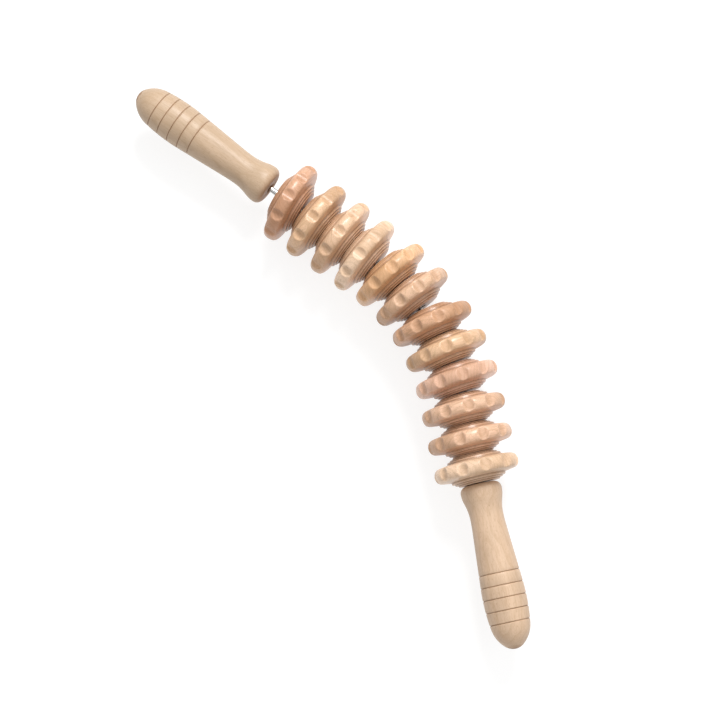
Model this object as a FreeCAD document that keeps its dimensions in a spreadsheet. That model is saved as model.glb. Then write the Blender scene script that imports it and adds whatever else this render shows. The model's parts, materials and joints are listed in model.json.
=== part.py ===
"""Curved two-handled massage roller: twelve notched wooden wheels loose on a bent steel rod.

The rod lies in a level plane and bends away from +Y.  Handle 1 is at -X and handle 2 at +X.
Every turned piece is drawn along its own +X axis and then placed on the rod.
Lengths are in millimetres and angles in degrees.
"""
import FreeCAD
import Part
import math
import os
import Sketcher
from FreeCAD import Placement, Rotation, Vector

SIZES = {
    "rod_dia": 4.0,               # polished steel rod
    "rod_chamfer": 0.4,
    "rod_seat": 32.0,             # length of rod inside each handle
    "bend_radius": 139.0,         # to the rod's centre line
    "bend_angle": 42.0,
    "end_straight": 61.2,         # straight rod between the bend and handle 2
    "free_length": 6.5,           # bare rod left between handle 1 and the wheels
    "wheel_dia": 55.0,
    "wheel_thickness": 19.0,      # from hub face to hub face
    "wheel_bore": 7.5,            # loose on the rod
    "hub_dia": 27.0,              # hub face
    "hub_gap": 0.2,               # between neighbouring hubs
    "step_height": 1.1,           # each turned step of the hub
    "step_width": 2.0,
    "step_draft": 0.4,            # how far each step's wall leans out
    "web_thickness": 11.4,        # across the foot of the web
    "rim_width": 9.2,             # across the edges of the rim
    "rim_edge_drop": 2.6,         # from the crown down to the rim's outer edges
    "crown_width": 7.6,
    "crown_drop": 1.4,
    "notch_count": 11.0,
    "notch_dia": 10.0,
    "notch_depth": 2.0,
    "handle_length": 107.2,
    "end_rounding": 4.5,          # at the handle's flat end
    "bead_dia": 26.8,
    "bead_place": 4.8,            # from the flat end, as is the neck
    "bead_rounding": 20.0,
    "neck_dia": 21.6,
    "neck_place": 21.5,
    "neck_rounding": 95.0,        # from the neck towards the belly
    "belly_dia": 28.1,
    "belly_to_tip": 32.6,
    "belly_rounding": 125.0,
    "shoulder_rounding": 20.0,    # between the belly and the tip
    "tip_rounding": 9.0,
    "groove_count": 5.0,
    "groove_first": 17.2,         # from the tip to the first groove
    "groove_pitch": 8.0,
    "groove_width": 0.8,
    "groove_depth": 0.6,
    "insert_dia": 6.5,            # threaded insert in each handle
    "insert_length": 12.0,
    "insert_recess": 0.8,
    "insert_slot": 1.2,           # screwdriver slot's width and depth
    "ridge_count": 8.0,           # the insert's outer ridges
    "ridge_height": 0.4,
    "seat_gap": 0.05,             # around the insert, and around the rod in the insert
    "drill_gap": 0.2,             # around the rod in the wood behind the insert
    "drill_spare": 2.0,           # hole left beyond the rod's end
}

BELLY_PLACE = "(Sizes.handle_length - Sizes.belly_to_tip)"

# How each wheel sits at rest, from handle 1 to handle 2.  The lean is a share of what the loose
# bore allows, and is positive where the wheel turns further round the bend than the rod does.
# The clock angle turns the nearest notch from straight up towards the outside of the bend.
WHEEL_LEANS = (-0.4, 0.35, 0.3, 0.45, 0.95, 0.45, 0.85, 0.15, -0.45, -0.35, -0.2, -0.15)
WHEEL_CLOCKS = (1, -4, 1, -8, 4, 12, 9, 0, 8, 6, -15, 12)


class RodPath:
    """The rod's centre line: straight, bend, straight.  Distances run from the middle of the bend."""

    def __init__(self, radius, angle):
        self.radius = radius
        self.half = math.radians(angle) / 2
        self.half_arc = radius * self.half

    def heading(self, distance):
        """Direction of travel in the XY plane, in radians."""
        turned = max(-self.half, min(self.half, distance / self.radius))
        return -turned

    def point(self, distance):
        turned = -self.heading(distance)
        beyond = distance - turned * self.radius
        on_arc = Vector(self.radius * math.sin(turned), -self.radius * (1 - math.cos(turned)), 0)
        return on_arc + Vector(math.cos(turned), -math.sin(turned), 0) * beyond


def free_lean(path):
    """The largest angle at which a wheel's bore still clears the rod inside it."""
    half_width = SIZES["wheel_thickness"] / 2
    play = (SIZES["wheel_bore"] - SIZES["rod_dia"]) / 2
    bow = half_width ** 2 / (2 * path.radius)
    return math.atan((play - bow - SIZES["seat_gap"]) / half_width)


def hub_clearance(path, first, first_lean, second, second_lean):
    """Smallest distance between the facing hubs of two wheels at two places on the rod."""
    between = path.point(second) - path.point(first)
    line = math.atan2(between.y, between.x)
    turn_first = line - path.heading(first) + first_lean
    turn_second = line - path.heading(second) + second_lean
    half_width = SIZES["wheel_thickness"] / 2
    widths = half_width * (math.cos(turn_first) + math.cos(turn_second))
    edges = SIZES["hub_dia"] / 2 * abs(math.sin(turn_second) - math.sin(turn_first))
    return between.Length - widths - edges


def wheel_places(path):
    """Distance along the rod and lean of each wheel, stacked hub to hub from handle 2."""
    leans = [share * free_lean(path) for share in WHEEL_LEANS]
    pitch = SIZES["wheel_thickness"] + SIZES["hub_gap"]
    last_tilt = SIZES["hub_dia"] / 2 * math.sin(abs(leans[-1]))
    handle_face = path.half_arc + SIZES["end_straight"]
    places = [handle_face - SIZES["hub_gap"] - last_tilt - SIZES["wheel_thickness"] / 2]
    for lean, next_lean in zip(leans[-2::-1], leans[:0:-1]):
        place = places[0] - pitch
        for _ in range(20):
            place -= SIZES["hub_gap"] - hub_clearance(path, place, lean, places[0], next_lean)
        places.insert(0, place)
    return list(zip(places, leans))


def cell(alias):
    return "Sizes." + alias


def add_sheet(doc):
    sheet = doc.addObject("Spreadsheet::Sheet", "Sizes")
    for row, (alias, value) in enumerate(SIZES.items(), start=1):
        sheet.set(f"A{row}", alias)
        sheet.set(f"B{row}", str(value))
        sheet.setAlias(f"B{row}", alias)
    doc.recompute()
    return sheet


def add_body(doc, label):
    body = doc.addObject("PartDesign::Body", label)
    body.Label = label
    return body


def origin_feature(body, role):
    return next(item for item in body.Origin.OriginFeatures if item.Role == role)


def add_sketch(body, name, plane="XY_Plane"):
    sketch = body.newObject("Sketcher::SketchObject", name)
    sketch.AttachmentSupport = (origin_feature(body, plane), [""])
    sketch.MapMode = "FlatFace"
    return sketch


def pin(sketch, geometry, vertex, along=None, across=None):
    """Tie a point of the sketch to expressions for its two coordinates."""
    for kind, expression in (("DistanceX", along), ("DistanceY", across)):
        if expression is None:
            continue
        point = sketch.getPoint(geometry, vertex)
        now = point.x if kind == "DistanceX" else point.y
        index = sketch.addConstraint(Sketcher.Constraint(kind, -1, 1, geometry, vertex, now))
        sketch.setExpression(f"Constraints[{index}]", expression)


def tie_radius(sketch, geometry, expression):
    radius = sketch.Geometry[geometry].Radius
    index = sketch.addConstraint(Sketcher.Constraint("Radius", geometry, radius))
    sketch.setExpression(f"Constraints[{index}]", expression)


def end_near(sketch, geometry, point):
    """The end of an arc or line, 1 or 2, that lies nearest to a point."""
    return min((1, 2), key=lambda end: sketch.getPoint(geometry, end).distanceToPoint(point))


def join(sketch, first, second, point, kind="Coincident"):
    """Join the ends of two edges that meet near a point, smoothly when kind is Tangent."""
    ends = end_near(sketch, first, point), end_near(sketch, second, point)
    sketch.addConstraint(Sketcher.Constraint(kind, first, ends[0], second, ends[1]))


def add_lines(sketch, corners):
    """Straight edges through corners given as pairs of expressions; returns the edges' numbers."""
    points = [Vector(number(along), number(across), 0) for along, across in corners]
    edges = []
    for start, end in zip(points, points[1:]):
        edges.append(sketch.addGeometry(Part.LineSegment(start, end), False))
    for edge, corner in zip(edges, corners):
        pin(sketch, edge, 1, *corner)
    pin(sketch, edges[-1], 2, *corners[-1])
    for edge, following, point in zip(edges, edges[1:], points[1:]):
        sketch.addConstraint(Sketcher.Constraint("Coincident", edge, 2, following, 1))
    return edges


def number(expression):
    """The present value of an expression on the sheet's cells."""
    sheet = FreeCAD.ActiveDocument.getObject("Sizes")
    value = sheet.evalExpression(expression)
    return float(getattr(value, "Value", value))


def revolve(body, sketch, name, kind="PartDesign::Revolution"):
    feature = body.newObject(kind, name)
    feature.Profile = sketch
    feature.ReferenceAxis = (sketch, ["H_Axis"])
    feature.Angle = 360
    return feature


def make_wheel(doc, label):
    """A turned wheel with stepped hubs, a web that thins outwards and notches across its rim."""
    body = add_body(doc, label)
    sketch = add_sketch(body, label + "_profile")
    face = "(Sizes.wheel_thickness / 2)"
    hub = "(Sizes.hub_dia / 2)"
    half = [(face, "Sizes.wheel_bore / 2"), (face, hub)]
    for step in (1, 2):
        level = f"{face} - {step} * Sizes.step_height"
        inner = f"{hub} + {step - 1} * Sizes.step_width + Sizes.step_draft"
        half += [(level, inner), (level, f"{hub} + {step} * Sizes.step_width")]
    half += [("Sizes.web_thickness / 2", f"{hub} + 2 * Sizes.step_width + Sizes.step_draft"),
             ("Sizes.rim_width / 2", "Sizes.wheel_dia / 2 - Sizes.rim_edge_drop"),
             ("Sizes.crown_width / 2", "Sizes.wheel_dia / 2 - Sizes.crown_drop")]
    other_half = [(f"-({along})", across) for along, across in half]
    right = add_lines(sketch, half)
    left = add_lines(sketch, other_half)
    ends = [Vector(number(along), number(across), 0) for along, across in (half[-1], other_half[-1])]
    top = Vector(0, SIZES["wheel_dia"] / 2, 0)
    crown = sketch.addGeometry(Part.ArcOfCircle(ends[0], top, ends[1]), False)
    join(sketch, right[-1], crown, ends[0])
    join(sketch, left[-1], crown, ends[1])
    drop, width = cell("crown_drop"), cell("crown_width")
    tie_radius(sketch, crown, f"((({width}) / 2) ^ 2 + {drop} ^ 2) / (2 * {drop})")
    bore = sketch.addGeometry(Part.LineSegment(sketch.getPoint(right[0], 1),
                                               sketch.getPoint(left[0], 1)), False)
    sketch.addConstraint(Sketcher.Constraint("Coincident", bore, 1, right[0], 1))
    sketch.addConstraint(Sketcher.Constraint("Coincident", bore, 2, left[0], 1))
    revolve(body, sketch, label + "_turned")

    notch_sketch = add_sketch(body, label + "_notch", "YZ_Plane")
    height = "Sizes.wheel_dia / 2 - Sizes.notch_depth + Sizes.notch_dia / 2"
    circle = Part.Circle(Vector(0, number(height), 0), Vector(0, 0, 1), SIZES["notch_dia"] / 2)
    notch_round = notch_sketch.addGeometry(circle, False)
    tie_radius(notch_sketch, notch_round, "Sizes.notch_dia / 2")
    notch_sketch.addConstraint(Sketcher.Constraint("PointOnObject", notch_round, 3, -2))
    pin(notch_sketch, notch_round, 3, across=height)
    notch = body.newObject("PartDesign::Pocket", label + "_first_notch")
    notch.Profile = notch_sketch
    notch.Midplane = True
    notch.setExpression("Length", "Sizes.wheel_thickness")
    notches = body.newObject("PartDesign::PolarPattern", label + "_notches")
    notches.Originals = [notch]
    notches.Axis = (notch_sketch, ["N_Axis"])
    notches.Angle = 360
    notches.setExpression("Occurrences", "Sizes.notch_count")
    body.Tip = notches
    return body


def handle_outline(sketch):
    """The handle's smooth outline from its flat end to its tip: arcs, and a line before the belly."""
    bead_top = Vector(SIZES["bead_place"], SIZES["bead_dia"] / 2, 0)
    neck_low = Vector(SIZES["neck_place"], SIZES["neck_dia"] / 2, 0)
    belly_top = Vector(SIZES["handle_length"] - SIZES["belly_to_tip"], SIZES["belly_dia"] / 2, 0)
    tip = Vector(SIZES["handle_length"], 0, 0)
    end_round, bead_round = SIZES["end_rounding"], SIZES["bead_rounding"]
    neck_round, belly_round = SIZES["neck_rounding"], SIZES["belly_rounding"]
    tip_round, shoulder_round = SIZES["tip_rounding"], SIZES["shoulder_rounding"]
    bead_centre = bead_top - Vector(0, bead_round, 0)
    belly_centre = belly_top - Vector(0, belly_round, 0)
    tip_centre = tip - Vector(tip_round, 0, 0)

    end_rise = math.sqrt((bead_round - end_round) ** 2 - (bead_top.x - end_round) ** 2)
    end_centre = Vector(end_round, bead_centre.y + end_rise, 0)
    waist_fall = bead_top.y - neck_low.y
    waist = neck_low.x - bead_top.x
    inner_neck = (waist ** 2 + waist_fall ** 2) / (2 * waist_fall) - bead_round
    inner_neck_centre = neck_low + Vector(0, inner_neck, 0)
    outer_neck_centre = neck_low + Vector(0, neck_round, 0)
    down = between_circles(outer_neck_centre, neck_round, belly_centre, belly_round)
    shoulder_centre = circles_cross(belly_centre, belly_round - shoulder_round,
                                    tip_centre, shoulder_round - tip_round)

    joints = [Vector(0, end_centre.y, 0),
              towards(bead_centre, end_centre, bead_round),
              towards(bead_centre, inner_neck_centre, bead_round),
              neck_low,
              outer_neck_centre + down * neck_round,
              belly_centre - down * belly_round,
              towards(belly_centre, shoulder_centre, belly_round),
              towards(shoulder_centre, tip_centre, shoulder_round),
              tip]
    centres = [end_centre, bead_centre, inner_neck_centre, outer_neck_centre, None,
               belly_centre, shoulder_centre, tip_centre]
    edges = []
    for start, end, centre in zip(joints, joints[1:], centres):
        if centre is None:
            edge = Part.LineSegment(start, end)
        else:
            middle = towards(centre, (start + end) / 2, start.distanceToPoint(centre))
            edge = Part.ArcOfCircle(start, middle, end)
        edges.append(sketch.addGeometry(edge, False))
    for first, second, point in zip(edges, edges[1:], joints[1:]):
        join(sketch, first, second, point, "Tangent")

    end_arc, bead_arc, _, outer_neck_arc, _, belly_arc, shoulder_arc, tip_arc = edges
    for arc, alias in ((end_arc, "end_rounding"), (bead_arc, "bead_rounding"),
                       (outer_neck_arc, "neck_rounding"), (belly_arc, "belly_rounding"),
                       (shoulder_arc, "shoulder_rounding"), (tip_arc, "tip_rounding")):
        tie_radius(sketch, arc, cell(alias))
    pin(sketch, bead_arc, 3, "Sizes.bead_place", "Sizes.bead_dia / 2 - Sizes.bead_rounding")
    pin(sketch, outer_neck_arc, end_near(sketch, outer_neck_arc, neck_low),
        "Sizes.neck_place", "Sizes.neck_dia / 2")
    pin(sketch, outer_neck_arc, 3, along="Sizes.neck_place")
    pin(sketch, belly_arc, 3, BELLY_PLACE, "Sizes.belly_dia / 2 - Sizes.belly_rounding")
    pin(sketch, tip_arc, 3, "Sizes.handle_length - Sizes.tip_rounding", "0")
    pin(sketch, tip_arc, end_near(sketch, tip_arc, tip), across="0")
    return edges, joints


def towards(centre, target, distance):
    """The point at a distance from a centre, in the direction of a target."""
    direction = target - centre
    return centre + direction * (distance / direction.Length)


def between_circles(first, first_radius, second, second_radius):
    """Unit normal, from the first circle's centre, of the line that touches both and runs between."""
    between = second - first
    bend = math.acos((first_radius + second_radius) / between.Length)
    heading = math.atan2(between.y, between.x) - bend
    return Vector(math.cos(heading), math.sin(heading), 0)


def circles_cross(first, first_radius, second, second_radius):
    """The upper left crossing of two circles in the XY plane."""
    between = second - first
    along = (between.Length ** 2 + first_radius ** 2 - second_radius ** 2) / (2 * between.Length)
    aside = math.sqrt(first_radius ** 2 - along ** 2)
    direction = between / between.Length
    return first + direction * along + Vector(-direction.y, direction.x, 0) * aside


def make_handle(doc, label):
    """A turned handle with a blind hole for the insert and the rod, and five grooves."""
    body = add_body(doc, label)
    sketch = add_sketch(body, label + "_profile")
    edges, joints = handle_outline(sketch)
    pocket_depth = "Sizes.insert_recess + Sizes.insert_length"
    hole_depth = "Sizes.rod_seat + Sizes.drill_spare"
    hole = "Sizes.rod_dia / 2 + Sizes.drill_gap"
    pocket = "Sizes.insert_dia / 2 + Sizes.seat_gap"
    inside = add_lines(sketch, [("Sizes.handle_length", "0"), (hole_depth, "0"), (hole_depth, hole),
                                (pocket_depth, hole), (pocket_depth, pocket), ("0", pocket)])
    face = sketch.addGeometry(Part.LineSegment(sketch.getPoint(inside[-1], 2), joints[0]), False)
    sketch.addConstraint(Sketcher.Constraint("Coincident", face, 1, inside[-1], 2))
    sketch.addConstraint(Sketcher.Constraint("Vertical", face))
    join(sketch, face, edges[0], joints[0], "Tangent")
    revolve(body, sketch, label + "_turned")

    groove_sketch = add_sketch(body, label + "_groove_profile")
    for groove in range(int(SIZES["groove_count"])):
        middle = f"Sizes.handle_length - Sizes.groove_first - {groove} * Sizes.groove_pitch"
        surface = ("Sizes.belly_dia / 2 - Sizes.belly_rounding + sqrt(Sizes.belly_rounding ^ 2"
                   f" - ({middle} - {BELLY_PLACE}) ^ 2)")
        floor = f"{surface} - Sizes.groove_depth"
        mouth = f"{surface} + Sizes.groove_depth"
        left = (f"{middle} - Sizes.groove_width", mouth)
        right = (f"{middle} + Sizes.groove_width", mouth)
        add_lines(groove_sketch, [(middle, floor), right, left, (middle, floor)])
    revolve(body, groove_sketch, label + "_grooves", "PartDesign::Groove")
    return body


def make_insert(doc, label):
    """A threaded insert with ridges that bite in the wood and a slot across its outer end."""
    body = add_body(doc, label)
    sketch = add_sketch(body, label + "_profile")
    inner = "Sizes.rod_dia / 2 + Sizes.seat_gap"
    crest = "Sizes.insert_dia / 2"
    root = "Sizes.insert_dia / 2 - Sizes.ridge_height"
    pitch = "Sizes.insert_length / Sizes.ridge_count"
    corners = [("0", inner), ("0", root)]
    for ridge in range(int(SIZES["ridge_count"])):
        corners += [(f"({ridge} + 0.5) * {pitch}", crest), (f"({ridge} + 1) * {pitch}", root)]
    corners += [("Sizes.insert_length", inner), corners[0]]
    add_lines(sketch, corners)
    revolve(body, sketch, label + "_turned")

    slot_sketch = add_sketch(body, label + "_slot_outline", "YZ_Plane")
    side, reach = "Sizes.insert_slot / 2", "Sizes.insert_dia"
    slot = [(f"-{reach}", side), (f"-{reach}", f"-{side}"), (reach, f"-{side}"), (reach, side)]
    add_lines(slot_sketch, slot + slot[:1])
    cut = body.newObject("PartDesign::Pocket", label + "_slot")
    cut.Profile = slot_sketch
    cut.Reversed = True
    cut.setExpression("Length", cell("insert_slot"))
    return body


def make_rod(doc, label, path, start, end):
    """The bent rod: a straight, a round bend and a straight, chamfered at both ends."""
    turn = math.degrees(path.half)
    pieces = []
    bend = doc.addObject("Part::Torus", label + "_bend")
    bend.setExpression("Radius1", cell("bend_radius"))
    bend.setExpression("Radius2", "Sizes.rod_dia / 2")
    bend.setExpression("Angle3", cell("bend_angle"))
    bend.Placement = Placement(Vector(0, -path.radius, 0), Rotation(Vector(0, 0, 1), 90 - turn))
    pieces.append(bend)
    for side, reach in ((-1, start), (1, end)):
        joint = path.point(side * path.half_arc)
        length = abs(reach) - path.half_arc
        heading = math.degrees(path.heading(side * path.half_arc))
        turned = Rotation(Vector(0, 0, 1), heading + (180 if side < 0 else 0))
        upright = turned.multiply(Rotation(Vector(0, 1, 0), 90))
        straight = doc.addObject("Part::Cylinder", f"{label}_straight_{'first' if side < 0 else 'last'}")
        straight.setExpression("Radius", "Sizes.rod_dia / 2")
        straight.setExpression("Height", f"{length} - Sizes.rod_chamfer")
        straight.Placement = Placement(joint, upright)
        point = doc.addObject("Part::Cone", f"{label}_point_{'first' if side < 0 else 'last'}")
        point.setExpression("Radius1", "Sizes.rod_dia / 2")
        point.setExpression("Radius2", "Sizes.rod_dia / 2 - Sizes.rod_chamfer")
        point.setExpression("Height", cell("rod_chamfer"))
        along = upright.multVec(Vector(0, 0, length - SIZES["rod_chamfer"]))
        point.Placement = Placement(joint + along, upright)
        pieces += [straight, point]
    rod = doc.addObject("Part::MultiFuse", label)
    rod.Shapes = pieces
    rod.Refine = True
    rod.Label = label
    return rod


def on_path(path, distance, lean=0.0, clock=0.0, reverse=False):
    """Placement that lays a piece's +X axis along the rod at a distance from the bend's middle."""
    heading = math.degrees(path.heading(distance) - lean) + (180 if reverse else 0)
    turned = Rotation(Vector(0, 0, 1), heading).multiply(Rotation(Vector(1, 0, 0), -clock))
    return Placement(path.point(distance), turned)


def stand_on_ground(parts):
    """Move all pieces so that the origin is under the middle of the whole, at its lowest point."""
    box = FreeCAD.BoundBox()
    for part in parts:
        box.add(part.Shape.optimalBoundingBox(False, False))
    shift = Vector(-box.Center.x, -box.Center.y, -box.ZMin)
    for part in parts:
        part.Placement = Placement(part.Placement.Base + shift, part.Placement.Rotation)


def build():
    doc = FreeCAD.newDocument("curved_massage_roller")
    add_sheet(doc)
    path = RodPath(SIZES["bend_radius"], SIZES["bend_angle"])
    places = wheel_places(path)
    last_face = path.half_arc + SIZES["end_straight"]
    first_tilt = SIZES["hub_dia"] / 2 * math.sin(abs(places[0][1]))
    first_face = places[0][0] - SIZES["wheel_thickness"] / 2 - first_tilt - SIZES["free_length"]
    rod_ends = first_face - SIZES["rod_seat"], last_face + SIZES["rod_seat"]

    parts = [make_rod(doc, "rod", path, *rod_ends)]
    for index, ((distance, lean), clock) in enumerate(zip(places, WHEEL_CLOCKS), start=1):
        wheel = make_wheel(doc, f"wheel_{index:02d}")
        wheel.Placement = on_path(path, distance, lean, clock)
        parts.append(wheel)
    for number_of, face, reverse in ((1, first_face, True), (2, last_face, False)):
        handle = make_handle(doc, f"handle_{number_of}")
        handle.Placement = on_path(path, face, reverse=reverse)
        insert = make_insert(doc, f"handle_insert_{number_of}")
        depth = -SIZES["insert_recess"] if reverse else SIZES["insert_recess"]
        insert.Placement = on_path(path, face + depth, reverse=reverse)
        parts += [handle, insert]
    doc.recompute()
    stand_on_ground(parts)
    doc.recompute()
    return doc, parts


def check(doc, parts):
    """Stop if any feature failed or any piece isn't a sound single solid."""
    for item in doc.Objects:
        if {"Invalid", "Error"} & set(item.State):
            raise RuntimeError(f"{item.Label} failed: {item.State}")
    for part in parts:
        if part.Shape.isNull() or not part.Shape.isValid() or len(part.Shape.Solids) != 1:
            raise RuntimeError(f"{part.Label} isn't one valid solid")


def main():
    doc, parts = build()
    check(doc, parts)
    os.makedirs("parts", exist_ok=True)
    for part in parts:
        part.Shape.exportStep(f"parts/{part.Label}.step")
        print(f"{part.Label}: {part.Shape.Volume:.0f} mm3")


main()
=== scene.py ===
"""The looks of a curved massage roller: turned beech wheels and handles on a bent steel rod."""

import json
import logging
import math
from dataclasses import dataclass, replace
from enum import Enum
from typing import Any, Callable, Iterable, Union

import bpy
import numpy as np
from mathutils import Matrix, Vector


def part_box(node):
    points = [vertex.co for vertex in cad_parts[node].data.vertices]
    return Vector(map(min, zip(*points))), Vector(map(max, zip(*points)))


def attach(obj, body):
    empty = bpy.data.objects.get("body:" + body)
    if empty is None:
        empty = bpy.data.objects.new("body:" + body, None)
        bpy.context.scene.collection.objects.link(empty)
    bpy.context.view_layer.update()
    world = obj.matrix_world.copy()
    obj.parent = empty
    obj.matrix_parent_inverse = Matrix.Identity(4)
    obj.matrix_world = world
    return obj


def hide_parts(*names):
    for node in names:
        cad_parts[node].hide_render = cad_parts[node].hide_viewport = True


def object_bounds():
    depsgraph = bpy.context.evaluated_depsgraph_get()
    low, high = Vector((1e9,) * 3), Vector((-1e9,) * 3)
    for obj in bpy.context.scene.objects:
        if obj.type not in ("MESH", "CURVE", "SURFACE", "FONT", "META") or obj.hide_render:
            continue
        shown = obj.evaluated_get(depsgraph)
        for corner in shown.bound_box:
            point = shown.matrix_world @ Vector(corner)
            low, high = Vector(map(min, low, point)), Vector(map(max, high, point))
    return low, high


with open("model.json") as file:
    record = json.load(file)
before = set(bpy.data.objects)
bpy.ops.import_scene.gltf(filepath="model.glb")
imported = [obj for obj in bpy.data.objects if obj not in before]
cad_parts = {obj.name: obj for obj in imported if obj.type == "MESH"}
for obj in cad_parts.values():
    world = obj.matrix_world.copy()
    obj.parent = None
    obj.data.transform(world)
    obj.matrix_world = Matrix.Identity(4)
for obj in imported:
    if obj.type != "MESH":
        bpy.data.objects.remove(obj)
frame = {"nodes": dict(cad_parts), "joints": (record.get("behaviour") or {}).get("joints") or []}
cad_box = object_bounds()

LOG = logging.getLogger("massage_roller")
MM = 0.001
WELD = 0.001
SMOOTH_TO = 40.0
Point = tuple[float, float]
Colour = tuple[float, float, float]


# ---------------------------------------------------------------- shader expressions

class Sock:
    """A shader socket that takes part in Python expressions."""

    def __init__(self, graph: "Graph", socket: bpy.types.NodeSocket) -> None:
        """Keep the socket and the graph that it belongs to."""
        self.graph = graph
        self.socket = socket

    def math(self, operation: str, *values: "Value") -> "Sock":
        """Add a Math node.

        Args:
            operation: the Math node's operation.
            values: its inputs, in order.

        Returns:
            The node's result.
        """
        return self.graph.add("ShaderNodeMath", {"operation": operation}, dict(enumerate(values)))

    def __add__(self, other: "Value") -> "Sock":
        """self + other."""
        return self.math("ADD", self, other)

    def __radd__(self, other: "Value") -> "Sock":
        """other + self."""
        return self.math("ADD", other, self)

    def __sub__(self, other: "Value") -> "Sock":
        """self - other."""
        return self.math("SUBTRACT", self, other)

    def __rsub__(self, other: "Value") -> "Sock":
        """other - self."""
        return self.math("SUBTRACT", other, self)

    def __mul__(self, other: "Value") -> "Sock":
        """self * other."""
        return self.math("MULTIPLY", self, other)

    def __rmul__(self, other: "Value") -> "Sock":
        """other * self."""
        return self.math("MULTIPLY", other, self)

    def __truediv__(self, other: "Value") -> "Sock":
        """self / other."""
        return self.math("DIVIDE", self, other)

    def __pow__(self, other: "Value") -> "Sock":
        """self ** other."""
        return self.math("POWER", self, other)

    def __abs__(self) -> "Sock":
        """The size of self."""
        return self.math("ABSOLUTE", self)


Value = Union[Sock, float, int, tuple[float, ...]]
Coordinates = tuple[Sock, Sock, Sock]


class Graph:
    """A material's nodes, around one Principled shader."""

    def __init__(self, name: str) -> None:
        """Make an empty material with a Principled shader and an output."""
        self.material = bpy.data.materials.new(name)
        self.material.use_nodes = True
        self.tree = self.material.node_tree
        self.tree.nodes.clear()
        output = self.tree.nodes.new("ShaderNodeOutputMaterial")
        self.shader = self.tree.nodes.new("ShaderNodeBsdfPrincipled")
        self.tree.links.new(self.shader.outputs[0], output.inputs[0])

    def add(self, kind: str, settings: dict[str, Any], inputs: dict[Union[int, str], Value],
            output: Union[int, str] = 0) -> Sock:
        """Add any node.

        Args:
            kind: the node's type.
            settings: its properties.
            inputs: values or sockets, by the input's number, identifier or name.
            output: the output that is wanted.

        Returns:
            That output.
        """
        node = self.tree.nodes.new(kind)
        for name, value in settings.items():
            setattr(node, name, value)
        for key, value in inputs.items():
            self.feed(self._find(node.inputs, key), value)
        return Sock(self, self._find(node.outputs, output))

    def feed(self, socket: bpy.types.NodeSocket, value: Value) -> None:
        """Link a socket to another, or set its value."""
        if isinstance(value, Sock):
            self.tree.links.new(value.socket, socket)
        else:
            socket.default_value = value

    def finish(self, inputs: dict[str, Value]) -> bpy.types.Material:
        """Give the Principled shader its inputs and return the material."""
        for name, value in inputs.items():
            self.feed(self.shader.inputs[name], value)
        return self.material

    def mix(self, share: Value, first: Value, second: Value, blend: str = "MIX") -> Sock:
        """Mix two colours by a share of the second."""
        settings = {"data_type": "RGBA", "blend_type": blend}
        inputs = {"Factor_Float": share, "A_Color": first, "B_Color": second}
        return self.add("ShaderNodeMix", settings, inputs, "Result_Color")

    def shade(self, colour: Value, noise: Sock, levels: Point) -> Sock:
        """Multiply a colour by a noise that is spread between two levels."""
        low, high = levels
        level = noise * (high - low) + low
        return self.mix(1.0, colour, self.vector(level, level, level), "MULTIPLY")

    def noise(self, vector: Sock, scale: float, detail: float) -> Sock:
        """Noise from 0 to 1 at a scale in features per unit of the vector."""
        inputs = {"Vector": vector, "Scale": scale, "Detail": detail}
        return self.add("ShaderNodeTexNoise", {}, inputs)

    def streaks(self, coordinates: Coordinates, scales: Point, detail: float, shift: float = 0.0
                ) -> Sock:
        """Noise that is drawn out along a piece.

        Args:
            coordinates: along the piece and across it in two directions.
            scales: features per millimetre along the piece and across it.
            detail: the noise's detail.
            shift: moves the pattern along the piece.

        Returns:
            The noise, from 0 to 1.
        """
        along, across, through = coordinates
        lengthwise, crosswise = scales
        return self.noise(self.vector(along * lengthwise + shift, across * crosswise,
                                      through * crosswise), 1.0, detail)

    def ramp(self, value: Sock, low: float, high: float) -> Sock:
        """0 below low, 1 above high and smooth between; low may be the larger."""
        if low > high:
            return 1.0 - self.ramp(value, high, low)
        inputs = {"Value": value, "From Min": low, "From Max": high}
        return self.add("ShaderNodeMapRange", {"interpolation_type": "SMOOTHSTEP"}, inputs)

    def vector(self, *parts: Value) -> Sock:
        """A vector from its three parts."""
        return self.add("ShaderNodeCombineXYZ", {}, dict(enumerate(parts)))

    def local_millimetres(self, place: Matrix) -> Coordinates:
        """A point's three coordinates in a piece's own frame.

        Args:
            place: the frame's place and turn in the row frame, in metres.

        Returns:
            The coordinates, in millimetres.
        """
        coordinates = self.add("ShaderNodeTexCoord", {}, {}, "Object")
        inputs = {"Vector": coordinates, "Location": tuple(place.translation),
                  "Rotation": tuple(place.to_euler())}
        local = self.add("ShaderNodeMapping", {"vector_type": "TEXTURE"}, inputs)
        scaled = self.add("ShaderNodeVectorMath", {"operation": "SCALE"},
                          {"Vector": local, "Scale": 1.0 / MM})
        return tuple(self.add("ShaderNodeSeparateXYZ", {}, {0: scaled}, part) for part in range(3))

    @staticmethod
    def _find(sockets: Iterable[bpy.types.NodeSocket], key: Union[int, str]
              ) -> bpy.types.NodeSocket:
        """A socket by number, identifier or name."""
        if isinstance(key, int):
            return sockets[key]
        for socket in sockets:
            if socket.identifier == key:
                return socket
        return sockets[key]


# ---------------------------------------------------------------- finishes

def opaque(colour: Colour) -> tuple[float, ...]:
    """A colour with full alpha."""
    return (*colour, 1.0)


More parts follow.
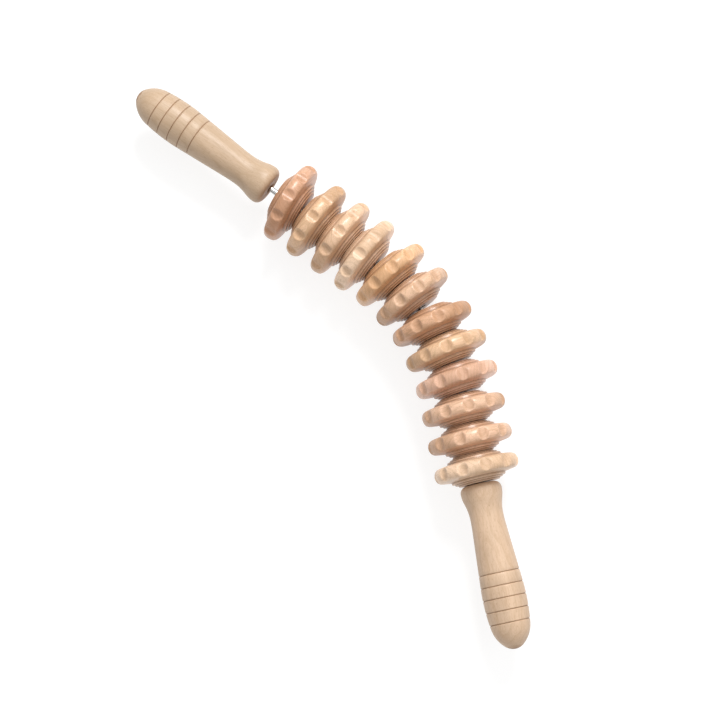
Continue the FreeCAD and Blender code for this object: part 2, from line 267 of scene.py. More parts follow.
class Tone(Enum):
    """The tone of one blank of beech, as a tint on the common colour."""

    PLAIN = (0.95, 0.97, 0.96)
    ROSE = (0.89, 0.79, 0.74)
    HONEY = (1.00, 1.02, 0.94)
    SAND = (1.06, 1.12, 1.11)
    CREAM = (1.04, 1.055, 1.07)
    RUSSET = (1.08, 1.04, 0.88)
    UMBER = (0.89, 0.82, 0.745)
    MAUVE = (1.07, 1.06, 1.14)
    PALE = (1.18, 1.34, 1.42)
    ASH = (0.82, 0.84, 0.86)
    WHITE = (0.97, 0.98, 1.02)


@dataclass(frozen=True)
class BeechFinish:
    """Turned beech under a satin lacquer.

    Colours are linear.  A share says how much of a colour is mixed in, and scales are features per
    millimetre along the grain and across it.
    """

    base: Colour
    ring: Colour = (0.44, 0.26, 0.135)
    fleck: Colour = (0.24, 0.115, 0.055)
    # Painted shade colour for the hub steps, the grooves, the bore and the gaps between pieces.
    crease_shade_colour: Colour = (0.24, 0.105, 0.04)
    # End-grain colour; on the wheels it is also the painted shade on the bottoms of the notches.
    end_grain_and_shade_colour: Colour = (0.34, 0.165, 0.065)
    ring_pitch: float = 2.6
    ring_start: float = 0.35
    ring_lean: float = 0.45
    ring_share: float = 0.32
    sway_scales: Point = (0.02, 0.06)
    sway_reach: float = 14.0
    fibre_scales: Point = (0.10, 2.2)
    fibre_limits: Point = (0.42, 0.75)
    fibre_share: float = 0.55
    fleck_scales: Point = (0.55, 2.6)
    fleck_limits: Point = (0.62, 0.74)
    fleck_share: float = 0.42
    patch_scales: Point = (0.03, 0.11)
    patch_levels: Point = (0.83, 1.17)
    end_grain_and_shade_share: float = 0.40
    seed_shift: float = 37.0
    fibre_height: float = 0.6
    fleck_height: float = -0.5
    bump_strength: float = 0.5
    bump_depth: float = 0.05
    roughness: float = 0.38
    fibre_roughness: float = 0.16
    end_roughness: float = 0.12
    coat: float = 0.22
    coat_roughness: float = 0.20

    def material(self, name: str, timber: Matrix, tone: Tone, end_grain_and_shade: Callable[..., Sock],
                 painted_crease_shade: Callable[..., Sock], seed: float) -> bpy.types.Material:
        """Make the material of one piece.

        Args:
            name: the material's name.
            timber: the piece's frame, whose X runs along the grain, in metres.
            tone: the tint of its blank.
            end_grain_and_shade: gives the share of end grain from the graph and the three
                coordinates; on the
            wheels it also holds painted shade on the bottoms of the notches.
            painted_crease_shade: gives the share of painted shade in hollows and between pieces,
                from the same.
            seed: moves the pattern, so that no two blanks are alike.

        Returns:
            The material.
        """
        graph = Graph(name)
        coordinates = graph.local_millimetres(timber)
        _, across, through = coordinates
        shift = self.seed_shift * seed
        sway = graph.streaks(coordinates, self.sway_scales, 2.0, shift)
        rings = (across + through * self.ring_lean + sway * self.sway_reach) / self.ring_pitch
        late = graph.ramp(rings.math("FRACT", rings), self.ring_start, 1.0)
        fibres = graph.streaks(coordinates, self.fibre_scales, 4.0, shift)
        flecks = graph.ramp(graph.streaks(coordinates, self.fleck_scales, 1.0, shift),
                            *self.fleck_limits)
        patches = graph.streaks(coordinates, self.patch_scales, 3.0, shift)
        ends = end_grain_and_shade(graph, *coordinates)
        # Painted shade in hollows and between pieces.
        crease_shade_share = painted_crease_shade(graph, *coordinates)

        colour = graph.mix(late ** 2.0 * self.ring_share, opaque(self.base), opaque(self.ring))
        fibre_share = graph.ramp(fibres, *self.fibre_limits) * self.fibre_share
        colour = graph.mix(fibre_share, colour, opaque(self.ring))
        fleck_share = flecks * self.fleck_share * (1.0 - ends)
        colour = graph.mix(fleck_share, colour, opaque(self.fleck))
        # End-grain colour; on the wheels this also paints shade on the bottoms of the notches.
        colour = graph.mix(ends * self.end_grain_and_shade_share, colour, opaque(self.end_grain_and_shade_colour))
        colour = graph.shade(colour, patches, self.patch_levels)
        colour = graph.mix(1.0, colour, opaque(tone.value), "MULTIPLY")
        # Mix in the painted shade of hollows and gaps.
        colour = graph.mix(crease_shade_share, colour, opaque(self.crease_shade_colour))

        height = fibres * self.fibre_height + flecks * self.fleck_height + ends * fibres
        normal = graph.add("ShaderNodeBump", {}, {"Strength": self.bump_strength,
                                                  "Distance": self.bump_depth * MM,
                                                  "Height": height})
        smoothest = self.roughness - self.fibre_roughness / 2
        return graph.finish({"Base Color": colour, "Normal": normal,
                             "Roughness": (fibres * self.fibre_roughness + smoothest
                                           + ends * self.end_roughness),
                             "Coat Weight": self.coat, "Coat Roughness": self.coat_roughness,
                             "Specular IOR Level": 0.5})


@dataclass(frozen=True)
class SteelFinish:
    """Bright steel with fine marks along it."""

    colour: Colour = (0.64, 0.63, 0.61)
    roughness: float = 0.10
    marks: float = 0.10
    mark_scales: Point = (0.15, 9.0)
    mark_levels: Point = (0.90, 1.04)
    dull_scale: float = 0.35
    dull: float = 0.08
    smoother: float = 0.07

    def material(self, name: str, place: Matrix) -> bpy.types.Material:
        """Make the material of a piece whose length runs along its frame's X."""
        graph = Graph(name)
        coordinates = graph.local_millimetres(place)
        marks = graph.streaks(coordinates, self.mark_scales, 3.0)
        dull = graph.noise(graph.vector(*coordinates), self.dull_scale, 2.0)
        colour = graph.shade(opaque(self.colour), marks, self.mark_levels)
        smoothest = self.roughness - self.smoother
        return graph.finish({"Base Color": colour, "Metallic": 1.0,
                             "Roughness": marks * self.marks + dull * self.dull + smoothest})


# ---------------------------------------------------------------- turned shapes

@dataclass
class Corner:
    """A corner of an outline, in millimetres along the axis and out from it, and its rounding."""

    along: float
    out: float
    rounding: float = 0.0


def rounded(corners: list[Corner], steps: int = 5) -> list[Point]:
    """Round an outline's corners.

    Args:
        corners: the outline's corners in order.
        steps: straight steps in each rounded corner.

    Returns:
        The outline's points.
    """
    points = [(corners[0].along, corners[0].out)]
    for before, corner, after in zip(corners, corners[1:], corners[2:]):
        here = Vector((corner.along, corner.out))
        back = (Vector((before.along, before.out)) - here).normalized()
        on = (Vector((after.along, after.out)) - here).normalized()
        half = back.angle(on) / 2
        if corner.rounding <= 0 or half > math.pi / 2 - 0.01:
            points.append(tuple(here))
            continue
        reach = corner.rounding / math.tan(half)
        centre = here + (back + on).normalized() * (corner.rounding / math.sin(half))
        start, end = here + back * reach, here + on * reach
        points += arc_points(centre, start, end, steps)
    points.append((corners[-1].along, corners[-1].out))
    return points


def arc_points(centre: Vector, start: Vector, end: Vector, steps: int) -> list[Point]:
    """Points along the shorter arc round a centre, both ends included."""
    first, last = start - centre, end - centre
    turn = first.angle_signed(last)
    radius = first.length
    heading = math.atan2(first.y, first.x)
    angles = (heading - turn * step / steps for step in range(steps + 1))
    return [(centre.x + radius * math.cos(a), centre.y + radius * math.sin(a)) for a in angles]


def spaced(points: list[Point], longest: float, wanted: Callable[[Point], bool]) -> list[Point]:
    """Divide an outline's long steps where both ends are wanted."""
    result = points[:1]
    for start, end in zip(points, points[1:]):
        length = math.dist(start, end)
        count = max(1, math.ceil(length / longest)) if wanted(start) and wanted(end) else 1
        for step in range(1, count + 1):
            share = step / count
            result.append(tuple(a + (b - a) * share for a, b in zip(start, end)))
    return result


def start_piece(name: str) -> bpy.types.Object:
    """A new mesh object that holds one vertex at the origin, in edit mode."""
    bpy.ops.object.select_all(action="DESELECT")
    bpy.ops.mesh.primitive_plane_add(size=MM, location=(0, 0, 0))
    piece = bpy.context.object
    piece.name = piece.data.name = name
    bpy.ops.object.mode_set(mode="EDIT")
    bpy.ops.mesh.select_all(action="SELECT")
    bpy.ops.mesh.merge(type="CENTER")
    return piece


def close_piece(smooth_to: float = SMOOTH_TO) -> None:
    """Weld the seams of the piece in edit mode, point its faces outwards and smooth gentle edges.

    Args:
        smooth_to: the largest angle that is shaded smooth, in degrees.
    """
    bpy.ops.mesh.select_all(action="SELECT")
    bpy.ops.mesh.remove_doubles(threshold=WELD * MM)
    bpy.ops.mesh.normals_make_consistent(inside=False)
    bpy.ops.object.mode_set(mode="OBJECT")
    bpy.ops.object.shade_smooth_by_angle(angle=math.radians(smooth_to))


def turn(name: str, outline: list[Point], segments: int, closed: bool,
         smooth_to: float = SMOOTH_TO) -> bpy.types.Object:
    """Turn an outline round the X axis, as on a lathe.

    Args:
        name: the piece's name.
        outline: points in millimetres, along the axis and out from it.
        segments: how many steps make the full turn.
        closed: whether the outline's last point joins its first.
        smooth_to: the largest angle that is shaded smooth, in degrees.

    Returns:
        The turned piece.
    """
    piece = start_piece(name)
    places = [Vector((along, out, 0)) * MM for along, out in outline]
    if closed:
        places.append(places[0])
    bpy.ops.transform.translate(value=places[0])
    for place, following in zip(places, places[1:]):
        step = {"value": following - place}
        bpy.ops.mesh.extrude_region_move(TRANSFORM_OT_translate=step)
    bpy.ops.mesh.select_all(action="SELECT")
    bpy.ops.mesh.spin(steps=segments, angle=math.tau, center=(0, 0, 0), axis=(1, 0, 0))
    close_piece(smooth_to)
    return piece


def copy_of(piece: bpy.types.Object, name: str, place: Matrix) -> bpy.types.Object:
    """A copy of a piece with its own mesh, laid at a place in the row frame."""
    twin = piece.copy()
    twin.data = piece.data.copy()
    twin.name = twin.data.name = name
    twin.data.transform(place)
    bpy.context.scene.collection.objects.link(twin)
    return twin


def dress(piece: bpy.types.Object, material: bpy.types.Material) -> None:
    """Give a piece one material all over."""
    piece.data.materials.clear()
    piece.data.materials.append(material)


def axis_place(centre: Vector, axis: Vector) -> Matrix:
    """The place of a piece whose X lies along an axis in a level plane and whose Z is up."""
    up = Vector((0, 0, 1))
    aside = up.cross(axis)
    turned = Matrix((axis, aside, up)).transposed().to_4x4()
    return Matrix.Translation(centre) @ turned


# ---------------------------------------------------------------- wheels

@dataclass
class Wheels:
    """The loose wheels: stepped hubs, a thin web and a notched rim.  Sizes in millimetres."""

    radius: float = 27.5
    half_width: float = 9.5
    bore: float = 3.75
    hub: float = 13.5
    hub_rounding: float = 0.45
    steps: int = 2
    step_height: float = 1.1
    step_width: float = 2.0
    step_draft: float = 0.4
    step_foot: float = 0.18
    step_foot_rounding: float = 0.12
    step_hollow: float = 0.35
    step_hollow_rounding: float = 0.2
    step_edge_rounding: float = 0.4
    web_half: float = 5.7
    web_foot: Point = (0.12, 0.15)
    web_hollow: Point = (0.05, 0.3)
    web_hollow_width: float = 0.5
    rim_half: float = 4.6
    rim_edge_drop: float = 2.6
    rim_rounding: float = 1.5
    rim_depth: float = 4.5
    rim_spacing: float = 0.45
    crown_half: float = 3.8
    crown_drop: float = 1.4
    notches: int = 11
    notch_radius: float = 5.0
    notch_depth: float = 2.0
    notch_reach: float = 4.0
    clock_shares: Point = (0.95, 0.75)
    easing: float = 0.18
    # Painted shade on the bottoms of the notches.
    notch_floor_shade_share: float = 0.75
    steps_per_notch: int = 32
    end_limits: Point = (0.62, 0.98)
    end_beyond_hub: Point = (3.0, 6.0)
    floor_start: float = 0.3
    floor_full_share: float = 0.8
    floor_inner_share: float = 0.6
    floor_fade: Point = (5.0, 3.5)
    # Painted shade in the hub steps, round the bore and between neighbouring wheels.
    crease_side: Point = (0.8, 0.2)
    crease_at_bore: float = 1.2
    crease_at_hub: float = 8.0
    crease_at_step: Point = (0.45, 0.05)
    bore_shade_share: float = 0.7
    hub_shade_share: float = 0.30
    step_shade_share: float = 0.6
    darkest_shade: float = 0.85
    tones: tuple[Tone, ...] = (Tone.ROSE, Tone.HONEY, Tone.SAND, Tone.PALE, Tone.RUSSET,
                               Tone.PLAIN, Tone.UMBER, Tone.HONEY, Tone.MAUVE, Tone.CREAM,
                               Tone.CREAM, Tone.PALE)
    grain_turns: tuple[float, ...] = (35, 110, 60, 150, 20, 85, 130, 70, 5, 100, 45, 160)
    finish: BeechFinish = BeechFinish(base=(0.77, 0.485, 0.325))

    def outline(self) -> list[Point]:
        """The outline from one hub's bore over the rim to the other's."""
        half = [Corner(self.half_width, self.bore),
                Corner(self.half_width, self.hub, self.hub_rounding)]
        level, out = self.half_width, self.hub
        for _ in range(self.steps):
            level -= self.step_height
            foot = out + self.step_draft
            half += [Corner(level - self.step_foot, foot, self.step_foot_rounding),
                     Corner(level, foot + self.step_hollow, self.step_hollow_rounding),
                     Corner(level, out + self.step_width, self.step_edge_rounding)]
            out += self.step_width
        foot = out + self.step_draft
        half += [Corner(self.web_half - self.web_foot[0], foot, self.web_foot[1]),
                 Corner(self.web_half - self.web_hollow[0], foot + self.web_hollow_width,
                        self.web_hollow[1]),
                 Corner(self.rim_half, self.radius - self.rim_edge_drop, self.rim_rounding)]
        crown = (self.crown_half ** 2 + self.crown_drop ** 2) / (2 * self.crown_drop)
        centre = Vector((0, self.radius - crown))
        edge = Vector((self.crown_half, self.radius - self.crown_drop))
        other = [Corner(-c.along, c.out, c.rounding) for c in reversed(half)]
        near = rounded(half + [Corner(*edge)], 6)
        far = rounded([Corner(-edge.x, edge.y)] + other, 6)
        crest = arc_points(centre, edge, Vector((-edge.x, edge.y)), 20)
        return spaced(near[:-1] + crest + far[1:], self.rim_spacing,
                      lambda point: point[1] > self.radius - self.rim_depth)

    def carve_notches(self, wheel: bpy.types.Object) -> None:
        """Mill round notches across the rim, with eased edges."""
        count = len(wheel.data.vertices)
        places = np.empty(count * 3)
        wheel.data.vertices.foreach_get("co", places)
        places = places.reshape(-1, 3) / MM
        out = np.hypot(places[:, 1], places[:, 2])
        pitch = math.tau / self.notches
        turned = np.arctan2(places[:, 1], places[:, 2])
        offset = (turned + pitch / 2) % pitch - pitch / 2
        middle = self.radius - self.notch_depth + self.notch_radius
        inside = self.notch_radius ** 2 - (middle * np.sin(offset)) ** 2
        floor = np.where(inside > 0, middle * np.cos(offset) - np.sqrt(np.abs(inside)),
                         2 * self.radius)
        blend = np.clip(0.5 + 0.5 * (floor - out) / self.easing, 0, 1)
        cut = floor * (1 - blend) + out * blend - self.easing * blend * (1 - blend)
        scale = np.where(out > self.radius - self.notch_reach, cut / out, 1)
        places[:, 1:] *= scale[:, None]
        wheel.data.vertices.foreach_set("co", (places * MM).ravel())
        wheel.data.update()

    def clock(self, node: str, place: Matrix) -> float:
        """How far a CAD wheel's nearest notch is turned from straight up, in radians."""
        inverse = place.inverted()
        low, high = (self.radius - share * self.notch_depth for share in self.clock_shares)
        total = complex(0)
        for vertex in frame["nodes"][node].data.vertices:
            _, aside, up = (inverse @ vertex.co) / MM
            if low < math.hypot(aside, up) < high:
                angle = self.notches * math.atan2(aside, up)
                total += complex(math.cos(angle), math.sin(angle))
        turned = math.atan2(total.imag, total.real) / self.notches
        LOG.info("%s is turned by %.1f degrees", node, math.degrees(turned))
        return turned

    def end_grain_and_shade(self, graph: Graph, along: Sock, across: Sock, through: Sock) -> Sock:
        """End grain shows where the rim cuts across the fibres; the bottoms of the notches get
        painted shade in the end-grain colour.
        """
        squares = along * along + across * across
        out = squares.math("SQRT", squares)
        ends = (graph.ramp(abs(along) / out, *self.end_limits)
                * graph.ramp(out, *(self.hub + away for away in self.end_beyond_hub)))
        # Painted shade on the bottoms of the notches, as recesses are in shade.
        notch_floor_shade = graph.ramp(out, self.radius - self.floor_start,
                            self.radius - self.floor_full_share * self.notch_depth)
        notch_floor_shade = notch_floor_shade * graph.ramp(abs(through), self.crown_half,
                                     self.floor_inner_share * self.crown_half)
        fade = graph.ramp(out, *(self.radius - depth for depth in self.floor_fade))
        return ends.math("MAXIMUM", ends, notch_floor_shade * fade * self.notch_floor_shade_share)

    def painted_crease_shade(self, graph: Graph, along: Sock, across: Sock, through: Sock) -> Sock:
        """Painted shade in the steps of the hub and round the bore, on the faces towards the next
        wheel.
        """
        out = (along * along + across * across) ** 0.5
        side = graph.ramp(abs(through), *(self.web_half - inner for inner in self.crease_side))
        dark = (graph.ramp(out, self.bore + self.crease_at_bore, self.bore) * self.bore_shade_share
                + graph.ramp(out, self.hub + self.crease_at_hub, self.hub) * self.hub_shade_share)
        for step in range(self.steps + 1):
            place = self.hub + step * self.step_width + self.step_draft
            dark = dark + graph.ramp(abs(out - place), *self.crease_at_step) * self.step_shade_share
        dark = dark * side
        return dark.math("MINIMUM", dark, self.darkest_shade)

    def build(self) -> list[bpy.types.Object]:
        """Turn one wheel, notch it and lay a copy on the rod for each wheel."""
        pattern = turn("wheel_pattern", self.outline(), self.notches * self.steps_per_notch, True)
        self.carve_notches(pattern)
        pieces = []
        joints = sorted(frame["joints"], key=lambda joint: joint["child"])
        for index, joint in enumerate(joints):
            node = joint["child"]
            place = axis_place(Vector(joint["pos_m"]), Vector(joint["axis"]).normalized())
            turned = place @ Matrix.Rotation(-self.clock(node, place), 4, "X")
            piece = copy_of(pattern, node + "_wood", turned)
            grain = math.radians(self.grain_turns[index])
            to_grain = Matrix.Rotation(grain, 4, "X") @ Matrix.Rotation(math.pi / 2, 4, "Y")
            dress(piece, self.finish.material(node + "_beech", turned @ to_grain, self.tones[index],
                                              self.end_grain_and_shade, self.painted_crease_shade, index + 1))
            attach(piece, node)
            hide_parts(node)
            pieces.append(piece)
            LOG.info("%s: %d faces", piece.name, len(piece.data.polygons))
        bpy.data.objects.remove(pattern)
        return pieces


# ---------------------------------------------------------------- handles

@dataclass
class Handles:
    """The two turned handles.  Sizes in millimetres, places from the flat end."""

    length: float = 107.2
    end_rounding: float = 4.5
    bead: Point = (4.8, 13.4)
    bead_rounding: float = 20.0
    neck: Point = (21.5, 10.8)
    neck_rounding: float = 95.0
    belly: Point = (74.6, 14.05)
    belly_rounding: float = 125.0
    shoulder_rounding: float = 20.0
    tip_rounding: float = 9.0
    grooves: int = 5
    groove_first: float = 17.2
    groove_pitch: float = 8.0
    groove_half: float = 0.4
    groove_depth: float = 0.6
    groove_lip: float = 0.52
    groove_lip_drop: float = 0.06
    groove_floor_half: float = 0.05
    groove_floor_rise: float = 0.03
    groove_clearance: float = 0.1
    mouth_chamfer: float = 0.25
    pocket: Point = (12.8, 3.3)
    hole: Point = (34.0, 2.2)
    segments: int = 144
    smooth_to: float = 50.0
    grain_turns: tuple[float, ...] = (25, 70)
    cap_shares: tuple[float, ...] = (0.85, 0.30)
    cap_depths: Point = (1.9, 0.9)
    # Painted shade in the grooves and round the drilled hole.
    hole_shade_share: float = 0.6
    groove_shade_share: float = 0.55
    darkest_shade: float = 0.85
    insert_recess: float = 0.8
    tones: tuple[Tone, ...] = (Tone.ASH, Tone.WHITE)
    finish: BeechFinish = BeechFinish(base=(0.66, 0.465, 0.305), ring=(0.52, 0.335, 0.19),
                                      fleck=(0.38, 0.21, 0.11), ring_pitch=3.4, fleck_share=0.46,
                                      roughness=0.5, coat=0.14, coat_roughness=0.32)

    def groove_places(self) -> list[float]:
        """The places of the grooves, from the one nearest the flat end."""
        from_tip = [self.groove_first + self.groove_pitch * index for index in range(self.grooves)]
        return [self.length - distance for distance in reversed(from_tip)]

    def outline(self) -> list[Point]:
        """The outline from the drilled hole round the flat end to the tip."""
        bead, neck, belly = Vector(self.bead), Vector(self.neck), Vector(self.belly)
        bead_centre = bead - Vector((0, self.bead_rounding))
        belly_centre = belly - Vector((0, self.belly_rounding))
        tip_centre = Vector((self.length - self.tip_rounding, 0))
        inner = ((neck.x - bead.x) ** 2 + (bead.y - neck.y) ** 2) / (2 * (bead.y - neck.y))
        inner_centre = neck + Vector((0, inner - self.bead_rounding))
        outer_centre = neck + Vector((0, self.neck_rounding))
        between = belly_centre - outer_centre
        bend = math.acos((self.neck_rounding + self.belly_rounding) / between.length)
        heading = math.atan2(between.y, between.x) - bend
        down = Vector((math.cos(heading), math.sin(heading)))
        end_rise = math.sqrt((self.bead_rounding - self.end_rounding) ** 2
                             - (bead.x - self.end_rounding) ** 2)
        end_centre = Vector((self.end_rounding, bead_centre.y + end_rise))
        shoulder_centre = self._upper_crossing(
            belly_centre, self.belly_rounding - self.shoulder_rounding,
            tip_centre, self.shoulder_rounding - self.tip_rounding)

        def touch(centre: Vector, other: Vector, radius: float) -> Vector:
            return centre + (other - centre).normalized() * radius

        to_bead = touch(bead_centre, end_centre, self.bead_rounding)
        to_inner = touch(bead_centre, inner_centre, self.bead_rounding)
        from_neck = outer_centre + down * self.neck_rounding
        to_belly = belly_centre - down * self.belly_rounding
        to_shoulder = touch(belly_centre, shoulder_centre, self.belly_rounding)
        to_tip = touch(shoulder_centre, tip_centre, self.shoulder_rounding)
        tip = Vector((self.length, 0))

        points = [(self.hole[0], 0.0), self.hole, (self.pocket[0], self.hole[1]), self.pocket,
                  (self.mouth_chamfer, self.pocket[1]), (0.0, self.pocket[1] + self.mouth_chamfer)]
        points += arc_points(end_centre, Vector((0, end_centre.y)), to_bead, 8)
        points += arc_points(bead_centre, to_bead, to_inner, 10)[1:]
        points += arc_points(inner_centre, to_inner, neck, 8)[1:]
        points += arc_points(outer_centre, neck, from_neck, 6)[1:]
        side = spaced([from_neck[:], to_belly[:]], 6.0, lambda point: True)
        side += arc_points(belly_centre, to_belly, to_shoulder, 30)[1:]
        points += self._grooved(side)[1:]
        points += arc_points(shoulder_centre, to_shoulder, to_tip, 16)[1:]
        points += arc_points(tip_centre, to_tip, tip, 10)[1:-1] + [(self.length, 0.0)]
        return points

    def _grooved(self, points: list[Point]) -> list[Point]:
        """Cut the grooves in a stretch of the outline, which runs from left to right."""
        def surface(along: float) -> float:
            before = max(index for index, point in enumerate(points[:-1]) if point[0] <= along)
            (start, low), (end, high) = points[before], points[before + 1]
            return low + (high - low) * (along - start) / (end - start)

        places = self.groove_places()
        lip, clear = self.groove_lip, self.groove_lip + self.groove_clearance
        kept = [p for p in points if all(abs(p[0] - place) > clear for place in places)]
        edge = (self.groove_half, self.groove_lip_drop)
        floor = (self.groove_floor_half, self.groove_depth - self.groove_floor_rise)
        section = ((-lip, 0.0), (-edge[0], edge[1]), (-floor[0], floor[1]), floor, edge, (lip, 0.0))
        for place in places:
            kept += [(place + away, surface(place + away) - deep) for away, deep in section]
        return sorted(kept)

    @staticmethod
    def _upper_crossing(first: Vector, first_radius: float, second: Vector, second_radius: float
                        ) -> Vector:
        """The upper left crossing of two circles."""
        between = second - first
        length = between.length
        along = (length ** 2 + first_radius ** 2 - second_radius ** 2) / (2 * length)
        aside = math.sqrt(first_radius ** 2 - along ** 2)
        direction = between / length
        return first + direction * along + Vector((-direction.y, direction.x)) * aside

    def end_grain_and_shade(self, graph: Graph, along: Sock, across: Sock, through: Sock) -> Sock:
        """End grain shows on the last of the tip and faintly on the flat end."""
        ragged = graph.noise(graph.vector(along, across, through), 0.5, 3.0)
        deep, shallow = self.cap_depths
        tip = graph.ramp(along + ragged * 1.6, self.length - deep, self.length - shallow)
        return tip + graph.ramp(along, 0.5, 0.0) * 0.2

    def painted_crease_shade(self, graph: Graph, along: Sock, across: Sock, through: Sock) -> Sock:
        """Painted shade in the grooves and round the drilled hole."""
        out = (across * across + through * through) ** 0.5
        dark = graph.ramp(out, self.pocket[1] + 0.8, self.pocket[1]) * self.hole_shade_share
        for place in self.groove_places():
            dark = dark + graph.ramp(abs(along - place), 0.5, 0.1) * self.groove_shade_share
        return dark.math("MINIMUM", dark, self.darkest_shade)

    def build(self) -> list[bpy.types.Object]:
        """Turn one handle and lay a copy on each end of the rod."""
        pattern = turn("handle_pattern", self.outline(), self.segments, False,
                       self.smooth_to)
        pieces = []
        for index, node in enumerate(("handle_1", "handle_2")):
            place = self.place(node)
            piece = copy_of(pattern, node + "_wood", place)
            grain = place @ Matrix.Rotation(math.radians(self.grain_turns[index]), 4, "X")
            finish = replace(self.finish, end_grain_and_shade_share=self.cap_shares[index])
            dress(piece, finish.material(node + "_beech", grain, self.tones[index], self.end_grain_and_shade,
                                         self.painted_crease_shade, 20 + index))
            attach(piece, "root")
            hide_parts(node)
            pieces.append(piece)
            LOG.info("%s: %d faces", piece.name, len(piece.data.polygons))
        bpy.data.objects.remove(pattern)
        return pieces

    def place(self, node: str) -> Matrix:
        """A handle's place, from the middles of its insert and of its own box."""
        low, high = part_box(node)
        insert_low, insert_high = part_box(node.replace("handle", "handle_insert"))
        insert_middle = (insert_low + insert_high) / 2
        insert_depth = (self.pocket[0] + self.insert_recess) / 2
        outer = max(low.x, high.x, key=abs)
        reach = (self.length - self.tip_rounding - insert_depth) * MM
        side = math.copysign(1.0, outer)
        centre_x = outer - side * self.tip_rounding * MM
        away_x = (centre_x - insert_middle.x) / reach
        axis = Vector((away_x, -math.sqrt(1 - away_x ** 2), 0))
        return axis_place(insert_middle - axis * insert_depth * MM, axis)


# ---------------------------------------------------------------- rod and inserts

@dataclass
class Rod:
    """The bent steel rod.  Sizes in millimetres."""

    radius: float = 2.0
    bend_radius: float = 139.0
    bend_angle: float = 42.0
    chamfer: float = 0.4
    sides: int = 48
    bend_steps: int = 84
    finish: SteelFinish = SteelFinish()

    def build(self, handles: Handles) -> bpy.types.Object:
        """Draw the rod from one end to the other: straight, bend, straight."""
        half = math.radians(self.bend_angle) / 2
        first, last = handles.place("handle_1"), handles.place("handle_2")
        seat = self._seat(handles)
        start = first.translation + first.to_3x3().col[0] * seat * MM
        end = last.translation + last.to_3x3().col[0] * seat * MM
        direction = -first.to_3x3().col[0]
        onward = last.to_3x3().col[0]
        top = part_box("rod")[1].y - self.radius * MM
        centre = Vector((0, top - self.bend_radius * MM, start.z))
        bend_start_y = centre.y + self.bend_radius * MM * math.cos(half)
        first_run = (bend_start_y - start.y) / direction.y
        bend_start = start + direction * first_run
        centre.x = bend_start.x + self.bend_radius * MM * math.sin(half)
        bend_end = Vector((centre.x + self.bend_radius * MM * math.sin(half), bend_start_y,
                           start.z))
        last_run = (end - bend_end).length

        bpy.ops.object.select_all(action="DESELECT")
        turned = direction.to_track_quat("Z", "Y").to_euler()
        chamfer = self.chamfer * MM
        bpy.ops.mesh.primitive_circle_add(vertices=self.sides, radius=self.radius * MM - chamfer,
                                          fill_type="NGON", location=start, rotation=turned)
        piece = bpy.context.object
        piece.name = piece.data.name = "rod_steel"
        bpy.ops.object.transform_apply(location=True, rotation=True, scale=True)
        bpy.ops.object.mode_set(mode="EDIT")
        bpy.ops.mesh.select_all(action="SELECT")
        grow = self.radius / (self.radius - self.chamfer)
        self._run(direction * chamfer)
        bpy.ops.transform.resize(value=(grow, grow, grow),
                                 center_override=start + direction * chamfer)
        self._run(direction * (first_run - chamfer))
        bpy.ops.mesh.spin(steps=self.bend_steps, angle=math.radians(self.bend_angle),
                          center=centre, axis=(0, 0, 1))
        self._run(onward * (last_run - chamfer))
        self._run(onward * chamfer)
        shrink = 1 / grow
        bpy.ops.transform.resize(value=(shrink, shrink, shrink), center_override=end)
        close_piece()
        dress(piece, self.finish.material("rod_polished_steel", axis_place(bend_start, direction)))
        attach(piece, "root")
        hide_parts("rod")
        LOG.info("%s: %d faces", piece.name, len(piece.data.polygons))
        return piece

    def _seat(self, handles: Handles) -> float:
        """How deep the rod sits in a handle, from the box of the rod and the handle's place."""
        place = handles.place("handle_2")
        axis = place.to_3x3().col[0]
        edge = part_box("rod")[1].x - place.translation.x
        return (edge / MM - (self.radius - self.chamfer) * abs(axis.y)) / axis.x

    @staticmethod
    def _run(step: Vector) -> None:
        """Extrude the rod's open end by a step."""
        bpy.ops.mesh.extrude_region_move(TRANSFORM_OT_translate={"value": step})


@dataclass
class Inserts:
    """The plated inserts in the handles keep their CAD shape."""

    finish: SteelFinish = SteelFinish(colour=(0.58, 0.55, 0.50), roughness=0.34, marks=0.18)

    def build(self, handles: Handles) -> None:
        """Dress both inserts."""
        for number in (1, 2):
            node = frame["nodes"][f"handle_insert_{number}"]
            material = self.finish.material(f"insert_plating_{number}",
                                            handles.place(f"handle_{number}"))
            dress(node, material)
            LOG.info("%s: dressed", node.name)


# ---------------------------------------------------------------- studio

@dataclass(frozen=True)
class Lamp:
    """A round soft light, placed by its direction in the camera's axes."""

    name: str
    right: float
    up: float
    towards: float
    distance: float
    size: float
    power: float


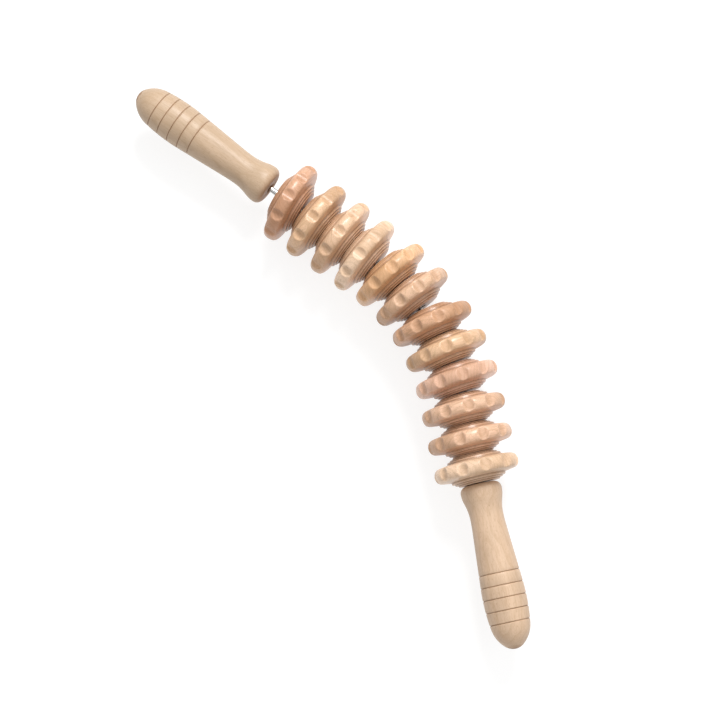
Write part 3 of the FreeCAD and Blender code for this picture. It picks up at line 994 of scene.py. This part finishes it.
@dataclass
class Studio:
    """A pale floor, soft lights and the camera.  Lengths in metres, angles in degrees."""

    target: tuple[float, float, float] = (0.0089, -0.0229, 0.0275)
    distance: float = 1.435
    azimuth: float = -18.6
    elevation: float = 83.1
    roll: float = -14.5
    lens: float = 111.0
    sensor: float = 36.0
    floor_size: float = 40.0
    floor_tone: float = 0.25
    floor_glow: float = 0.80
    floor_roughness: float = 0.9
    floor_gap: float = 0.0001
    overhead: float = 0.92
    horizon: float = 0.12
    ceiling_from: float = 0.35
    ceiling_to: float = 0.75
    lamps: tuple[Lamp, ...] = (Lamp("key_light", 0.15, 0.74, 0.64, 2.2, 0.8, 38.0),
                               Lamp("fill_light", 0.8, 0.2, 0.8, 2.0, 1.2, 4.0))

    def build(self) -> None:
        """Set up the floor, the lights and the camera."""
        camera = self.camera()
        self.floor()
        self.lights(camera)
        self.surround()
        bpy.context.scene.view_settings.view_transform = "Standard"

    def surround(self) -> None:
        """Soft light from a pale ceiling, darker towards the walls."""
        world = bpy.data.worlds.new("studio_surround")
        world.use_nodes = True
        tree = world.node_tree
        place = tree.nodes.new("ShaderNodeTexCoord")
        height = tree.nodes.new("ShaderNodeSeparateXYZ")
        shade = tree.nodes.new("ShaderNodeMapRange")
        shade.interpolation_type = "SMOOTHSTEP"
        limits = {"From Min": self.ceiling_from, "From Max": self.ceiling_to,
                  "To Min": self.horizon, "To Max": self.overhead}
        for name, value in limits.items():
            shade.inputs[name].default_value = value
        tree.links.new(place.outputs["Generated"], height.inputs[0])
        tree.links.new(height.outputs["Z"], shade.inputs["Value"])
        tree.links.new(shade.outputs["Result"], tree.nodes["Background"].inputs["Color"])
        bpy.context.scene.world = world

    def camera(self) -> bpy.types.Object:
        """A long lens that looks down on the roller."""
        azimuth, elevation = math.radians(self.azimuth), math.radians(self.elevation)
        towards = Vector((math.cos(elevation) * math.cos(azimuth),
                          math.cos(elevation) * math.sin(azimuth), math.sin(elevation)))
        data = bpy.data.cameras.new("studio_camera")
        data.lens = self.lens
        data.sensor_width = self.sensor
        camera = bpy.data.objects.new("studio_camera", data)
        bpy.context.scene.collection.objects.link(camera)
        aim = towards.to_track_quat("Z", "Y").to_matrix().to_4x4()
        spin = Matrix.Rotation(math.radians(self.roll), 4, "Z")
        stand = Matrix.Translation(Vector(self.target) + towards * self.distance)
        camera.matrix_world = stand @ aim @ spin
        bpy.context.scene.camera = camera
        return camera

    def floor(self) -> None:
        """A plain pale floor at the roller's lowest point."""
        bpy.ops.object.select_all(action="DESELECT")
        bpy.ops.mesh.primitive_plane_add(size=self.floor_size,
                                         location=(0, 0, cad_box[0][2] - self.floor_gap))
        floor = bpy.context.object
        floor.name = "studio_floor"
        graph = Graph("studio_paper")
        tone = (self.floor_tone, self.floor_tone, self.floor_tone, 1.0)
        dress(floor, graph.finish({"Base Color": tone, "Roughness": self.floor_roughness,
                                   "Emission Color": (1.0, 1.0, 1.0, 1.0),
                                   "Emission Strength": self.floor_glow}))

    def lights(self, camera: bpy.types.Object) -> None:
        """A large soft light above the view and a weaker one at its right."""
        turned = camera.matrix_world.to_3x3()
        right, up, towards = turned.col[0], turned.col[1], turned.col[2]
        for lamp in self.lamps:
            direction = right * lamp.right + up * lamp.up + towards * lamp.towards
            data = bpy.data.lights.new(lamp.name, "AREA")
            data.shape = "DISK"
            data.size = lamp.size
            data.energy = lamp.power
            light = bpy.data.objects.new(lamp.name, data)
            bpy.context.scene.collection.objects.link(light)
            light.location = Vector(self.target) + direction.normalized() * lamp.distance
            light.rotation_euler = direction.to_track_quat("Z", "Y").to_euler()


def main() -> None:
    """Build the roller piece by piece and set up the studio."""
    logging.basicConfig(level=logging.INFO, format="%(name)s: %(message)s")
    handles = Handles()
    handles.build()
    Rod().build(handles)
    Inserts().build(handles)
    Wheels().build()
    Studio().build()


if __name__ == "__main__":
    main()
